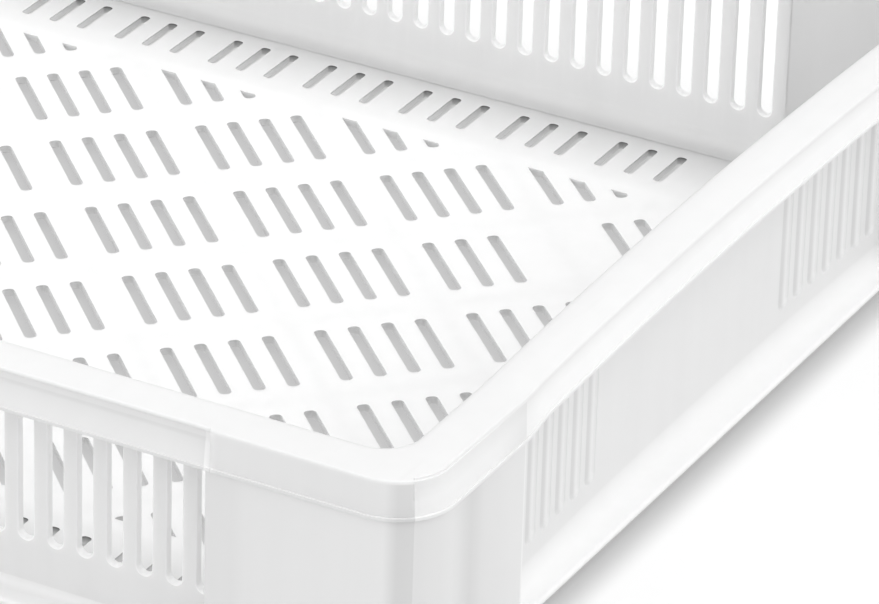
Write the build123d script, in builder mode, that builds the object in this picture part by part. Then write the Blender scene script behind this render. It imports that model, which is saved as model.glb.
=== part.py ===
"""Ventilated stacking tray, 600 x 400 mm: one moulding, kept as the separate regions of its mould.

Origin at the middle of the base. +X runs along the length, towards the right-hand grip end,
+Y along the width, towards the rear wall, +Z up. Sizes are in millimetres.
"""
import os
from math import cos, degrees, radians, sin, sqrt

from build123d import *

# Overall size, over the rim's lip and from the ground to the rim's top
length = 600
width = 400
height = 85
lip_corner_radius = 19

# Rim: flat top, turned down at its outer edge into a lip
rim_thickness = 3
rim_edge_radius = 2.4
side_rim_width = 18.5
end_rim_width = 19.5
rim_seam = 5
lip_drop = 11.5
lip_edge = 1.2
side_lip_flare = 1.5
end_lip_flare = 2.4
rim_edge_height = 1.2
skirt_recess = 1.3
skirt_band = 4.5
skirt_thickness = 2.5

# Grip flange on the short ends: its lip stands out beyond the lip of the corner posts
grip_rim_setback = 4
grip_seam_inset = 2.5
grip_lip_drop = 9
grip_lip_edge = 1
end_lip_setback = 1.2

# Walls
side_wall_thickness = 3
end_wall_thickness = 5
end_bow = 3
inside_corner_radius = 11
foot_radius = 6
foot_seam = 1

# Corner posts, measured back from the outermost faces of the rim
post_length = 72
post_width = 61
post_setback = 0.7
post_skin = 3
post_edge_radius = 2.5

# Upright slots through the long walls
wall_slot_pitch = 10
wall_slot_width = 5
wall_slot_sill = 16.5
wall_slot_head = 10
wall_slot_margin = 5

# Blind flutes in the short walls, in a group at each end of the grip
flute_count = 7
flute_pitch = 10
flute_first = 66
flute_radius = 4
flute_depth = 2.3
flute_sill = 13.5
flute_head = 10

# Floor plate, with its square lattice of slots set at 45 degrees
floor_top = 6
floor_thickness = 2.5
cell_pitch = 50
cell_slots = 4
floor_slot_pitch = 11
floor_slot_length = 37
floor_slot_width = 4.4
lattice_side_margin = 45.5
lattice_end_margin = 44
smallest_cut = 4

# Plain pad that interrupts the lattice, and its twin half a turn away, in half diagonals of a cell
pad_cells = (5.5, 2.5)
pad_reach = 9

# Border row of slots, square to the long walls
border_slot_length = 20.5
border_slot_gap = 12
border_group_pitch = 37.2
border_group_slots = 3

# Base: ribs and locating ring under the floor, ledge outside the walls
rib_width = 3.2
ring_width = 4
stack_clearance = 2
ledge_inset = 6.5
ledge_cove_radius = 5
ledge_edge_radius = 1.1

# Places that follow from the sizes above
half_length = length / 2
half_width = width / 2
inside_x = half_length - end_rim_width
inside_y = half_width - side_rim_width
post_x = half_length - post_length
post_y = half_width - post_width
floor_x = inside_x - end_bow - foot_radius - foot_seam
floor_y = inside_y - foot_radius - foot_seam
floor_bottom = floor_top - floor_thickness
rim_bottom = height - rim_thickness
lip_bottom = height - lip_drop
post_lip_x = half_length - end_lip_setback
corner_x = post_lip_x - lip_corner_radius
corner_y = half_width - lip_corner_radius
lattice_x = inside_x - lattice_end_margin
lattice_y = inside_y - lattice_side_margin
half_diagonal = cell_pitch / sqrt(2)
lip_bow_radius = (post_y**2 + end_bow**2) / (2 * end_bow)
end_radius = lip_bow_radius + end_rim_width
end_center_x = half_length - end_bow + lip_bow_radius
grip_seam = end_rim_width - grip_rim_setback - grip_seam_inset

os.makedirs("parts", exist_ok=True)


def write(part, name):
    """Label one finished piece and write it to its own file."""
    part.label = name
    export_step(part, f"parts/{name}.step")


def write_pair(part, name, sides):
    """Write a piece and its copy half a turn about the upright axis."""
    write(part, f"{name}_{sides[0]}")
    write(part.rotate(Axis.Z, 180), f"{name}_{sides[1]}")


def write_corners(part, name):
    """Write a front right corner piece, its mirror images and their half turn."""
    mirrored = part.mirror(Plane.YZ)
    write(part, f"{name}_front_right")
    write(mirrored, f"{name}_front_left")
    write(part.rotate(Axis.Z, 180), f"{name}_rear_left")
    write(mirrored.rotate(Axis.Z, 180), f"{name}_rear_right")


def upright_plane(x, y, angle):
    """A plane on the upright line at x, y: its own x runs outward at the angle, its own y up."""
    outward = (cos(radians(angle)), sin(radians(angle)), 0)
    return Plane(origin=(x, y, 0), x_dir=outward, z_dir=(outward[1], -outward[0], 0))


def end_x(offset, y):
    """X of the bowed right-hand end at y, the offset counted outward from its inner face."""
    return end_center_x - sqrt((end_radius - offset) ** 2 - y**2)


def end_points(offset):
    """Three points of the bowed edge at the offset, across the grip from post to post."""
    return [(end_x(offset, y), y) for y in (-post_y, 0, post_y)]


def end_strip(inner, outer):
    """Outline of a strip of the right-hand end, between two bowed edges."""
    with BuildSketch() as strip:
        with BuildLine():
            inner_edge = ThreePointArc(*end_points(inner))
            outer_edge = ThreePointArc(*end_points(outer))
            Line(inner_edge @ 0, outer_edge @ 0)
            Line(inner_edge @ 1, outer_edge @ 1)
        make_face()
    return strip.sketch


def end_plate(straight_x, bowed):
    """Outline of a plate at the right-hand end, between a straight edge and a bowed one."""
    with BuildSketch() as plate:
        with BuildLine():
            edge = ThreePointArc(*end_points(bowed))
            Polyline(edge @ 0, (straight_x, -post_y), (straight_x, post_y), edge @ 1)
        make_face()
    return plate.sketch


def corner_outline(points, radii):
    """Closed outline round the front right corner, with a radius, or none, at each point."""
    with BuildSketch() as outline:
        with BuildLine():
            FilletPolyline(*points, radius=radii, close=True)
        make_face()
    return outline.sketch


def along_inside(edge):
    """Whether an edge lies on the outline of the inside, not on the rim's outer side or its ends."""
    middle = edge.center()
    return abs(middle.X) < inside_x + foot_seam / 2 and abs(middle.Y) < inside_y + foot_seam / 2


def at_inner_wall(edge):
    """Whether an edge runs along a corner post's inner wall, where the foot meets it."""
    middle = edge.center()
    by_side = abs(abs(middle.Y) - inside_y) < foot_seam / 2
    by_end = abs(abs(middle.X) - inside_x) < foot_seam / 2
    if edge.geom_type == GeomType.CIRCLE:
        return abs(edge.radius - inside_corner_radius) < foot_seam / 2
    return by_side or by_end


def ramp_profile(lip):
    """Section of the rim's edge on the long sides of the posts: straight out to the lip."""
    rim = lip - side_lip_flare
    seam = lip - rim_seam
    with BuildSketch() as section:
        with BuildLine():
            Polyline(
                (seam, height),
                (rim, height),
                (lip, lip_bottom + lip_edge),
                (lip, lip_bottom),
                (lip - skirt_thickness, lip_bottom),
                (seam, rim_bottom - skirt_thickness),
                close=True,
            )
        make_face()
    return section.sketch


def band_profile(lip):
    """Section of the rim's edge between the posts on a long side: a recessed band, then a flared one."""
    rim = lip - side_lip_flare
    band = rim - skirt_recess
    seam = lip - rim_seam
    with BuildSketch() as section:
        with BuildLine():
            FilletPolyline(
                (seam, height),
                (rim, height),
                (rim, height - rim_edge_height),
                (band, height - rim_edge_height),
                (band, height - skirt_band),
                (lip, lip_bottom + lip_edge),
                (lip, lip_bottom),
                (lip - skirt_thickness, lip_bottom),
                (seam, rim_bottom - skirt_thickness),
                radius=[0, 0, 0, 0, skirt_band / 2, 0, 0, 0, 0],
                close=True,
            )
        make_face()
    return section.sketch


def cove_profile(seam, rim, lip, drop, edge):
    """Section of the rim's edge on a short end: a quarter of an ellipse, from upright out to a thin lip."""
    bottom = height - drop
    with BuildSketch() as section:
        with BuildLine():
            Line((seam, height), (rim, height))
            EllipticalCenterArc((lip, height), lip - rim, drop - edge, start_angle=180)
            Polyline(
                (lip, bottom + edge),
                (lip, bottom),
                (lip - skirt_thickness, bottom),
                (seam, rim_bottom - skirt_thickness),
                (seam, height),
            )
        make_face()
    return section.sketch


# Floor plate: lattice slots cut off at the lattice's border, then the border rows
reach = int((inside_x + inside_y) / half_diagonal)
cells = [
    (column, row)
    for column in range(-reach, reach + 1)
    for row in range(-reach, reach + 1)
    if (column + row) % 2
]
steps = [(index - (cell_slots - 1) / 2) * floor_slot_pitch / sqrt(2) for index in range(cell_slots)]
pad = (pad_cells[0] * half_diagonal, pad_cells[1] * half_diagonal)
slot_places = []
for column, row in cells:
    for step in steps:
        x = column * half_diagonal + step
        y = row * half_diagonal + step
        on_pad = any(sqrt((x - s * pad[0]) ** 2 + (y - s * pad[1]) ** 2) < pad_reach for s in (1, -1))
        within = abs(x) < lattice_x + floor_slot_length and abs(y) < lattice_y + floor_slot_length
        if within and not on_pad:
            slot_places.append((x, y))

border_groups = int((lattice_x - border_group_slots * floor_slot_pitch / 2) / border_group_pitch)
border_y = inside_y - border_slot_gap - border_slot_length / 2
border_places = [
    (group * border_group_pitch + (index - (border_group_slots - 1) / 2) * floor_slot_pitch, side * border_y)
    for group in range(-border_groups, border_groups + 1)
    for index in range(border_group_slots)
    for side in (-1, 1)
]

with BuildSketch() as lattice_slots:
    with Locations(*slot_places):
        SlotOverall(floor_slot_length, floor_slot_width, rotation=-45)
    Rectangle(2 * lattice_x, 2 * lattice_y, mode=Mode.INTERSECT)

with BuildPart() as floor_panel:
    with BuildSketch(Plane.XY.offset(floor_bottom)):
        RectangleRounded(2 * floor_x, 2 * floor_y, inside_corner_radius - foot_radius - foot_seam)
        add([face for face in lattice_slots.faces() if face.area > smallest_cut], mode=Mode.SUBTRACT)
        with Locations(*border_places):
            SlotOverall(border_slot_length, floor_slot_width, rotation=90, mode=Mode.SUBTRACT)
    extrude(amount=floor_thickness)
write(floor_panel.part, "floor_panel")

# Rib lattice under the floor: it runs between the cells and ends in a frame at the lattice's border
rib_lines = [(index * 2 * half_diagonal, 0) for index in range(-reach, reach + 1)]
rib_length = 2 * (length + width)
with BuildSketch() as rib_gaps:
    Rectangle(2 * lattice_x, 2 * lattice_y)
    for rib_angle in (45, -45):
        with Locations(*rib_lines):
            Rectangle(rib_length, rib_width, rotation=rib_angle, mode=Mode.SUBTRACT)

with BuildPart() as floor_ribs:
    with BuildSketch():
        Rectangle(2 * (lattice_x + rib_width), 2 * (lattice_y + rib_width))
        add(rib_gaps.faces(), mode=Mode.SUBTRACT)
    extrude(amount=floor_bottom)
write(floor_ribs.part, "floor_ribs")

# Locating ring under the foot of the walls: it drops inside the rim of the tray below
ring_x = inside_x - end_bow - stack_clearance
ring_y = inside_y - stack_clearance
with BuildPart() as base_ring_end:
    with BuildSketch():
        with Locations((ring_x - ring_width / 2, 0)):
            Rectangle(ring_width, 2 * ring_y)
    extrude(amount=floor_bottom)
write_pair(base_ring_end.part, "base_ring", ("right", "left"))

with BuildPart() as base_ring_side:
    with BuildSketch():
        with Locations((0, -ring_y + ring_width / 2)):
            Rectangle(2 * (ring_x - ring_width), ring_width)
    extrude(amount=floor_bottom)
write_pair(base_ring_side.part, "base_ring", ("front", "rear"))

# Long walls: upright slots between the posts, with a fillet at the foot
wall_outer_y = inside_y + side_wall_thickness
slot_bottom = floor_top + wall_slot_sill
slot_top = rim_bottom - wall_slot_head
slots_each_way = int((post_x - wall_slot_margin - wall_slot_width / 2) / wall_slot_pitch)
with BuildPart() as side_wall:
    with BuildSketch(upright_plane(0, 0, -90)):
        with BuildLine():
            FilletPolyline(
                (floor_y, floor_top),
                (floor_y, floor_bottom),
                (wall_outer_y, floor_bottom),
                (wall_outer_y, rim_bottom),
                (inside_y, rim_bottom),
                (inside_y, floor_top),
                radius=[0, 0, 0, 0, 0, foot_radius],
                close=True,
            )
        make_face()
    extrude(amount=post_x, both=True)
    with BuildSketch(Plane.XZ):
        with Locations((0, (slot_bottom + slot_top) / 2)):
            with GridLocations(wall_slot_pitch, 0, 2 * slots_each_way + 1, 1):
                SlotOverall(slot_top - slot_bottom, wall_slot_width, rotation=90)
    extrude(amount=width, both=True, mode=Mode.SUBTRACT)
write_pair(side_wall.part, "side_wall", ("front", "rear"))

# Short walls: bowed in, with a fillet at the foot and blind flutes on the outside
with BuildPart() as end_wall:
    with BuildSketch(Plane.XY.offset(floor_bottom)):
        add(end_plate(floor_x, end_wall_thickness))
    extrude(amount=floor_thickness)
    with BuildSketch(Plane.XY.offset(floor_bottom)):
        add(end_strip(0, end_wall_thickness))
    extrude(amount=rim_bottom - floor_bottom)
    foot_edges = end_wall.edges().filter_by(GeomType.CIRCLE).filter_by_position(Axis.Z, floor_top, floor_top)
    fillet(foot_edges, foot_radius)
    flute_bottom = floor_top + flute_sill + flute_radius
    flute_top = rim_bottom - flute_head
    for index in range(flute_count):
        for side in (-1, 1):
            y = side * (flute_first + index * flute_pitch)
            x = end_x(end_wall_thickness, y) + flute_radius - flute_depth
            with Locations((x, y, flute_bottom)):
                Sphere(flute_radius, mode=Mode.SUBTRACT)
                Cylinder(
                    flute_radius,
                    flute_top - flute_bottom,
                    align=(Align.CENTER, Align.CENTER, Align.MIN),
                    mode=Mode.SUBTRACT,
                )
write_pair(end_wall.part, "end_wall", ("right", "left"))

# Corner posts: a hollow skin round the corner, the inner wall up to the rim, and the foot inside
post_outer_x = post_lip_x - post_setback
post_outer_y = half_width - post_setback
post_outline = (
    [
        (post_x, -inside_y),
        (post_x, -post_outer_y),
        (post_outer_x, -post_outer_y),
        (post_outer_x, -post_y),
        (inside_x, -post_y),
        (inside_x, -inside_y),
    ],
    [0, post_edge_radius, lip_corner_radius - post_setback, post_edge_radius, 0, inside_corner_radius],
)
hollow_outline = (
    [
        (post_x + post_skin, -inside_y - post_skin),
        (post_x + post_skin, -post_outer_y + post_skin),
        (post_outer_x - post_skin, -post_outer_y + post_skin),
        (post_outer_x - post_skin, -post_y - post_skin),
        (inside_x + post_skin, -post_y - post_skin),
        (inside_x + post_skin, -inside_y - post_skin),
    ],
    [0, 0, lip_corner_radius - post_setback - post_skin, 0, 0, inside_corner_radius + post_skin],
)
inner_outline = (
    [
        (post_x, -inside_y),
        (post_x, -inside_y - post_skin),
        (inside_x + post_skin, -inside_y - post_skin),
        (inside_x + post_skin, -post_y),
        (inside_x, -post_y),
        (inside_x, -inside_y),
    ],
    [0, 0, inside_corner_radius + post_skin, 0, 0, inside_corner_radius],
)
foot_outline = (
    [
        (post_x, -floor_y),
        (post_x, -inside_y - post_skin),
        (inside_x + post_skin, -inside_y - post_skin),
        (inside_x + post_skin, -post_y),
        (floor_x, -post_y),
        (floor_x, -floor_y),
    ],
    [0, 0, inside_corner_radius + post_skin, 0, 0, inside_corner_radius - foot_radius - foot_seam],
)
with BuildPart() as corner_post:
    with BuildSketch(Plane.XY.offset(floor_bottom)):
        add(corner_outline(*post_outline))
    extrude(amount=lip_bottom - floor_bottom)
    with BuildSketch(Plane.XY.offset(floor_bottom)):
        add(corner_outline(*hollow_outline))
    extrude(amount=lip_bottom - floor_bottom, mode=Mode.SUBTRACT)
    with BuildSketch(Plane.XY.offset(floor_bottom)):
        add(corner_outline(*inner_outline))
    extrude(amount=rim_bottom - floor_bottom)
    with BuildSketch(Plane.XY.offset(floor_bottom)):
        add(corner_outline(*foot_outline))
    extrude(amount=floor_thickness)
    top_of_foot = corner_post.edges().filter_by_position(Axis.Z, floor_top, floor_top)
    fillet(top_of_foot.filter_by(at_inner_wall), foot_radius)
write_corners(corner_post.part, "corner_post")

# Base ledge outside the walls, with a cove up to each wall; the wall itself is cut away again
cove_top = floor_top + ledge_cove_radius
with BuildPart() as end_ledge:
    with BuildSketch(Plane.XY.offset(floor_bottom)):
        add(end_plate(half_length - ledge_inset, 0))
    extrude(amount=floor_thickness)
    outer_edges = end_ledge.edges().filter_by(Axis.Y).sort_by(Axis.X)[-2:]
    fillet(outer_edges, ledge_edge_radius)
    with BuildSketch(Plane.XY.offset(floor_bottom)):
        add(end_strip(0, end_wall_thickness))
    extrude(amount=cove_top + ledge_cove_radius - floor_bottom)
    cove_edges = end_ledge.edges().filter_by(GeomType.CIRCLE).filter_by_position(Axis.Z, floor_top, floor_top)
    fillet(cove_edges.filter_by_position(Axis.X, inside_x, half_length), ledge_cove_radius)
    with BuildSketch(Plane.XY.offset(floor_bottom)):
        add(end_strip(0, end_wall_thickness))
    extrude(amount=height, mode=Mode.SUBTRACT)
write_pair(end_ledge.part, "ledge", ("right", "left"))

ledge_y = half_width - ledge_inset
with BuildPart() as side_ledge:
    with BuildSketch(upright_plane(0, 0, -90)):
        with BuildLine():
            cove_center = (wall_outer_y + ledge_cove_radius, cove_top)
            Line((wall_outer_y, floor_bottom), (wall_outer_y, cove_top))
            CenterArc(cove_center, ledge_cove_radius, 180, 90)
            FilletPolyline(
                (wall_outer_y + ledge_cove_radius, floor_top),
                (ledge_y, floor_top),
                (ledge_y, floor_bottom),
                (wall_outer_y, floor_bottom),
                radius=ledge_edge_radius,
            )
        make_face()
    extrude(amount=post_x, both=True)
write_pair(side_ledge.part, "ledge", ("front", "rear"))

# Rim: its flat top, with a soft inner edge
seam_x = post_lip_x - rim_seam
seam_y = half_width - rim_seam
with BuildPart() as side_rim:
    with BuildSketch(Plane.XY.offset(rim_bottom)):
        with Locations((0, -(inside_y + seam_y) / 2)):
            Rectangle(2 * post_x, seam_y - inside_y)
    extrude(amount=rim_thickness)
    fillet(side_rim.edges().group_by(Axis.Z)[-1].filter_by(along_inside), rim_edge_radius)
write_pair(side_rim.part, "rim", ("front", "rear"))

with BuildPart() as end_rim:
    with BuildSketch(Plane.XY.offset(rim_bottom)):
        add(end_strip(0, grip_seam))
    extrude(amount=rim_thickness)
    fillet(end_rim.edges().group_by(Axis.Z)[-1].filter_by(along_inside), rim_edge_radius)
write_pair(end_rim.part, "rim", ("right", "left"))

seam_radius = lip_corner_radius - rim_seam
rim_corner_outline = (
    [
        (post_x, -inside_y),
        (post_x, -seam_y),
        (seam_x, -seam_y),
        (seam_x, -post_y),
        (inside_x, -post_y),
        (inside_x, -inside_y),
    ],
    [0, 0, seam_radius, 0, 0, inside_corner_radius],
)
with BuildPart() as rim_corner:
    with BuildSketch(Plane.XY.offset(rim_bottom)):
        add(corner_outline(*rim_corner_outline))
    extrude(amount=rim_thickness)
    fillet(rim_corner.edges().group_by(Axis.Z)[-1].filter_by(along_inside), rim_edge_radius)
write_corners(rim_corner.part, "rim_corner")

# Turned-down edge of the rim: bands on the long sides, coved grip flanges on the short ends
with BuildPart() as side_skirt:
    with BuildSketch(upright_plane(0, 0, -90)):
        add(band_profile(half_width))
    extrude(amount=post_x, both=True)
write_pair(side_skirt.part, "skirt", ("front", "rear"))

with BuildPart() as grip_flange:
    with BuildSketch(upright_plane(inside_x - end_bow, 0, 0)) as flange_section:
        grip_rim = end_rim_width - grip_rim_setback
        add(cove_profile(grip_seam, grip_rim, end_rim_width, grip_lip_drop, grip_lip_edge))
    flange_axis = Axis((end_center_x, 0, 0), (0, 0, 1))
    flange_arc = degrees(half_width / end_radius)
    for way in (1, -1):
        revolve(flange_section.sketch, axis=flange_axis, revolution_arc=way * flange_arc)
    with Locations((half_length, 0, height / 2)):
        Box(length, 2 * post_y, 2 * height, mode=Mode.INTERSECT)
write_pair(grip_flange.part, "grip_flange", ("right", "left"))

corner_axis = Axis((corner_x, -corner_y, 0), (0, 0, 1))
with BuildPart() as skirt_corner:
    with BuildSketch(upright_plane(corner_x, -corner_y, -90)) as ramp:
        add(ramp_profile(lip_corner_radius))
    extrude(ramp.sketch, amount=corner_x - post_x)
    revolve(ramp.sketch, axis=corner_axis, revolution_arc=45)
    with BuildSketch(upright_plane(corner_x, -corner_y, 0)) as cove:
        corner_rim = lip_corner_radius - end_lip_flare
        add(cove_profile(seam_radius, corner_rim, lip_corner_radius, lip_drop, lip_edge))
    extrude(cove.sketch, amount=-(corner_y - post_y))
    revolve(cove.sketch, axis=corner_axis, revolution_arc=-45)
write_corners(skirt_corner.part, "skirt_corner")
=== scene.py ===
"""White ventilated stacking tray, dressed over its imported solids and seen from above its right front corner.

Lengths in this script are millimetres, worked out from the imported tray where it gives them, and become
metres when a piece is made. X runs along the tray, Y from the front wall to the rear wall, Z up.
"""
from math import cos, radians, sin

import bpy
import numpy as np
from mathutils import Matrix, Vector
from mathutils.geometry import delaunay_2d_cdt


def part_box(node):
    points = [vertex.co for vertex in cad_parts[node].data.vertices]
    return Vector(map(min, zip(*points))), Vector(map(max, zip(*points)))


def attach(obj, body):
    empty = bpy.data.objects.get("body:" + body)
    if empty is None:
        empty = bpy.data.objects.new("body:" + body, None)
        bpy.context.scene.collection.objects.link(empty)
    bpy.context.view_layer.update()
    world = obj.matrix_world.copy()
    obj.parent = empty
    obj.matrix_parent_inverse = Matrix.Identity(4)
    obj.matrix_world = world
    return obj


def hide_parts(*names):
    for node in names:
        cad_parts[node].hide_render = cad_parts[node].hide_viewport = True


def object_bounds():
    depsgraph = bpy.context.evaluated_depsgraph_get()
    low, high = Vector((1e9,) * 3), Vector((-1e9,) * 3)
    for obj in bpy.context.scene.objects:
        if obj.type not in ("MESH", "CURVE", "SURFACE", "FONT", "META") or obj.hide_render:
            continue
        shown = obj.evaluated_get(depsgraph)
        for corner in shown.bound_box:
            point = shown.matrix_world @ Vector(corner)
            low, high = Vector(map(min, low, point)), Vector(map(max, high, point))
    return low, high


MM = 0.001

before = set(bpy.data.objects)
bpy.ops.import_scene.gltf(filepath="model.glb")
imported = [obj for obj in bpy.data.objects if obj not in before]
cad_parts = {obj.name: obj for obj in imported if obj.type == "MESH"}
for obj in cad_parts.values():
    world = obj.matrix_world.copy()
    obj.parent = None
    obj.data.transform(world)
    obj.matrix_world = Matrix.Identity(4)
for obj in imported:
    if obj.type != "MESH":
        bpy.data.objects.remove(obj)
cad_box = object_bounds()


def corners_of(node):
    """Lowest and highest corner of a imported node, in millimetres."""
    low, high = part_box(node)
    return np.array(low) / MM, np.array(high) / MM


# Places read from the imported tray
half_length, half_width, height = np.array(cad_box[1]) / MM
post_x = corners_of("side_wall_front")[1][0]
post_y = corners_of("end_wall_right")[1][1]
post_lip_x = corners_of("skirt_corner_front_right")[1][0]
post_face_x = corners_of("corner_post_front_right")[1][0]
post_face_y = -corners_of("corner_post_front_right")[0][1]
inside_y = -corners_of("rim_front")[1][1]
bowed_inside_x = corners_of("rim_right")[0][0]
rim_bottom = corners_of("rim_front")[0][2]
lip_drop = 0.8
lip_bottom = corners_of("skirt_front")[0][2] - lip_drop
grip_lip_bottom = corners_of("grip_flange_right")[0][2]
floor_bottom, floor_top = (corner[2] for corner in corners_of("floor_panel"))
floor_x, floor_y = corners_of("floor_panel")[1][:2]
wall_outer_y = -corners_of("ledge_front")[1][1]
ledge_x = corners_of("ledge_right")[1][0]
ledge_y = -corners_of("ledge_front")[0][1]

# Bowed short ends
end_bow = 3
inside_x = bowed_inside_x + end_bow
lip_bow_radius = (post_y**2 + end_bow**2) / (2 * end_bow)
bow_center_x = half_length - end_bow + lip_bow_radius
end_wall_thickness = 5

# Corners of the outlines, seen from above
lip_corner_radius = 19
inside_corner_radius = 11
post_side_ease = 1.5
post_end_ease = 0.8
post_edge_y = post_y - 2
post_skin = 2.4
post_skin_overlap = 0.4
post_ease_steps = 10

# Rim's sections: distances in from the lip and heights
ease_steps = 6
rim_inner_ease = 3
rim_edge_ease = 0.8
seam_depth = 5
skirt_thickness = 2.5
slotted_flare = 3
post_flare = 2.2
corner_flare = 1.5
end_flare = 2.7
parting_flare = 2.1
grip_flare = 4
end_upright = 4.2
grip_upright = 3.2
end_step_width = 1.1
end_step_drop = 0.6
band_depth = 4.5
band_recess = 0.9
rim_edge_height = 1.2
lip_edge = 1.2
side_bead = 0.5
end_bead = 0.7
grip_start = 12
junction_y = post_edge_y - 2.7
junction_slant = 1.7
post_slant = 0.53
post_joint = np.array([-1.4, -1, 0.8])
grip_joint_fade = 0.4
hair = 0.03

# Walls
wall_slot_pitch = 10
wall_slot_width = 5
wall_slot_sill = 16.5
wall_slot_head = 10
wall_slot_margin = 5
wall_slot_ease = 0.6
foot_radius = 6
foot_top = floor_top + foot_radius
side_cove = (3, 3)
end_cove = (5, 8.4)
end_ledge_trim = 1.4
ledge_ease = 1.2

# Slots of the floor plate: cells of four in a square lattice turned 45 degrees, and a row by each long wall
cell_pitch = 50
cell_slots = 4
floor_slot_pitch = 11
floor_slot_length = 33.6
floor_slot_width = 3.95
floor_slot_ease = 0.12
slot_end_power = 2.6
floor_slot_shade = 0.8
lattice_x = inside_x - 44
lattice_y = inside_y - 45.5
lattice_shift = (0.6, -0.6)
smallest_cut = 3.4
pad_cells = (5.5, 2.5)
pad_reach = 9
border_slot_length = 20
border_slot_width = 3.4
border_slot_shade = 0.75
border_slot_gap = 12
border_group_pitch = 37.2
border_group_slots = 3
rib_width = 3.2
rib_setback = 7
plate_overlap = 4
plate_corner_radius = 8

# Flutes in the short walls
flute_count = 7
flute_pitch = 10
flute_first = 66
flute_width = 7
flute_depth = 0.8
flute_edge = 1.2
flute_sill = 13.5
flute_head = 10
flute_margin = 0.2
flute_light_start = -0.05
flute_light_fade = 0.45

# Turns of the rim and the posts round a corner, in degrees, on both sides of the parting line
corner_steps = 16
parting_angle = -45
parting_gap = 0.3
before_parting = np.linspace(-90, parting_angle - parting_gap, corner_steps)
after_parting = np.linspace(parting_angle + parting_gap, 0, corner_steps)
corner_turns = np.concatenate([before_parting, after_parting])
strip_start = -72
strip_fade = 12
strip_share = np.clip((before_parting - strip_start) / strip_fade, 0, 1)

# Tone of the plastic at a place, added to its colour: below zero grey, above zero white.
# Some tones stand for thin and thick plastic; most are painted shade and painted light that the lamps here
# don't give
# Rim: painted shade under the edge, down the skirts, near the grip's joint and down the grip's upright drop; a
# painted highlight at the post's joint; painted light on the grip's flare; a darker strip before the parting
# line
rim_edge_painted_shade = -0.2
slotted_skirt_painted_shade = -0.9
post_skirt_painted_shade = -0.6
post_joint_painted_highlight = 0.6
grip_joint_painted_shade = -1
grip_edge_painted_shade = -0.4
grip_flare_painted_light = 0.15
skirt_strip_tone = -1.3
# Slotted walls: painted light on the inner face towards its foot, and on the slots' sides, most on their sills
wall_low_painted_light = 0.35
wall_inner_tone = -0.05
low_tone_top = 30
low_tone_fade = 18
slot_side_painted_light = 0.4
slot_sill_painted_light = 1.8
# Painted shade in the crease: deepening down a wall's foot into the floor, deepest at the joint
foot_painted_shade = (0.25, -1.1, -1.6)
floor_joint_painted_shade = -1.7
# Painted light on the ledges
side_ledge_painted_light = 0.9
end_wall_tone = -0.3
end_ledge_painted_light = 1.5
# Flutes: painted shade on each flute's near side, rising to painted light on its far side
flute_near_painted_shade = -1.6
flute_painted_light_rise = 2.4
# Posts: darker upright bands across the side and the end, a darker strip before the parting line, and a
# painted highlight on the end's edge, the middle one of the edge tones
post_side_bands = np.array([9, 14, 22, 40])
post_side_tones = [-0.5, -0.1, -0.1, 0]
post_end_bands = np.array([40, 36.5, 33, 29.5, 26, 16, 8, 1.5])
post_end_tones = [-1.1, -1.6, -2, -1.6, -1.1, -0.85, -0.6, -0.5]
post_edge_shade_and_highlight = (-0.5, 0.9, -0.3)
post_strip_tone = -1.7
post_corner_tone = -0.8
post_inside_tone = -0.35
post_foot_painted_shade = -1.4

# Painted shade down a slot of the floor, from its top to its underside, and more painted shade added at its
# far end
lattice_slot_painted_shade = [0, -2.2, -2.6, -2.4, -1.8, -1.5, -1.5]
border_slot_painted_shade = [0, -2.2, -4, -4.5, -0.6, -0.2, 0]
lattice_far_end_painted_shade = [0, -1, -2, -2, -0.7, 0, 0]
border_far_end_painted_shade = [0, -1, -3, -3.5, -4, -0.5, 0]
slot_end_reach = 2
slot_end_fade = 1.2
slot_foot = 0.2

# Plastic
grain_scale = 1500
satin_roughness = 0.37
tone_reach = 0.09
scuff_amount = 0.15
scuff_color = (0.72, 0.72, 0.71, 1)
scuff_roughness = 0.3
crease_reach = 34
bump_strength = 0.25
bump_depth = 0.02
passing_share = 0.16
passing_color = (0.95, 0.95, 0.95, 1)

# Ground: values under the tray, beside its ledge and in the open. Under the tray it is dark and has a painted
# glow, which lights the tray from below and shows through the slots; beside the ledge it is darker, a painted
# shadow
ground_half_size = 20
ground_inset = 10
beside_ledge = 8
open_ground = 20
ground_color_with_painted_shadow = (0.2, 0.48, 0.72)
ground_seen = (0, 0.13, 0.2)
ground_painted_glow = (0.46, 0, 0)


def eased(corners, steps=ease_steps, closed=True):
    """Outline with eased corners, each given as (across, up, easing length).

    Round a corner P the curve is (1-s)^2 A + 2s(1-s) P + s^2 B, where A and B lie on its two sides
    at the easing length from P. An open outline keeps its two ends as points.
    """
    corners = np.asarray(corners, float)
    points, ease = corners[:, :2], corners[:, 2:]

    def along(neighbours):
        run = neighbours - points
        return points + ease * run / np.linalg.norm(run, axis=1, keepdims=True)

    before = along(np.roll(points, 1, axis=0))
    after = along(np.roll(points, -1, axis=0))
    s = np.linspace(0, 1, steps)[None, :, None]
    curve = (1 - s) ** 2 * before[:, None] + 2 * s * (1 - s) * points[:, None] + s**2 * after[:, None]
    if closed:
        return curve.reshape(-1, 2)
    return np.concatenate([points[:1], curve[1:-1].reshape(-1, 2), points[-1:]])


def grid_faces(rows, columns, close_rows=False, close_columns=False):
    """Four-sided faces of a grid of points, joined end to end where a direction closes."""
    row = np.arange(rows if close_rows else rows - 1)[:, None]
    column = np.arange(columns if close_columns else columns - 1)[None, :]
    next_row, next_column = (row + 1) % rows, (column + 1) % columns
    faces = [row * columns + column, next_row * columns + column]
    faces += [next_row * columns + next_column, row * columns + next_column]
    return np.stack(faces, axis=-1).reshape(-1, 4)


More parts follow.
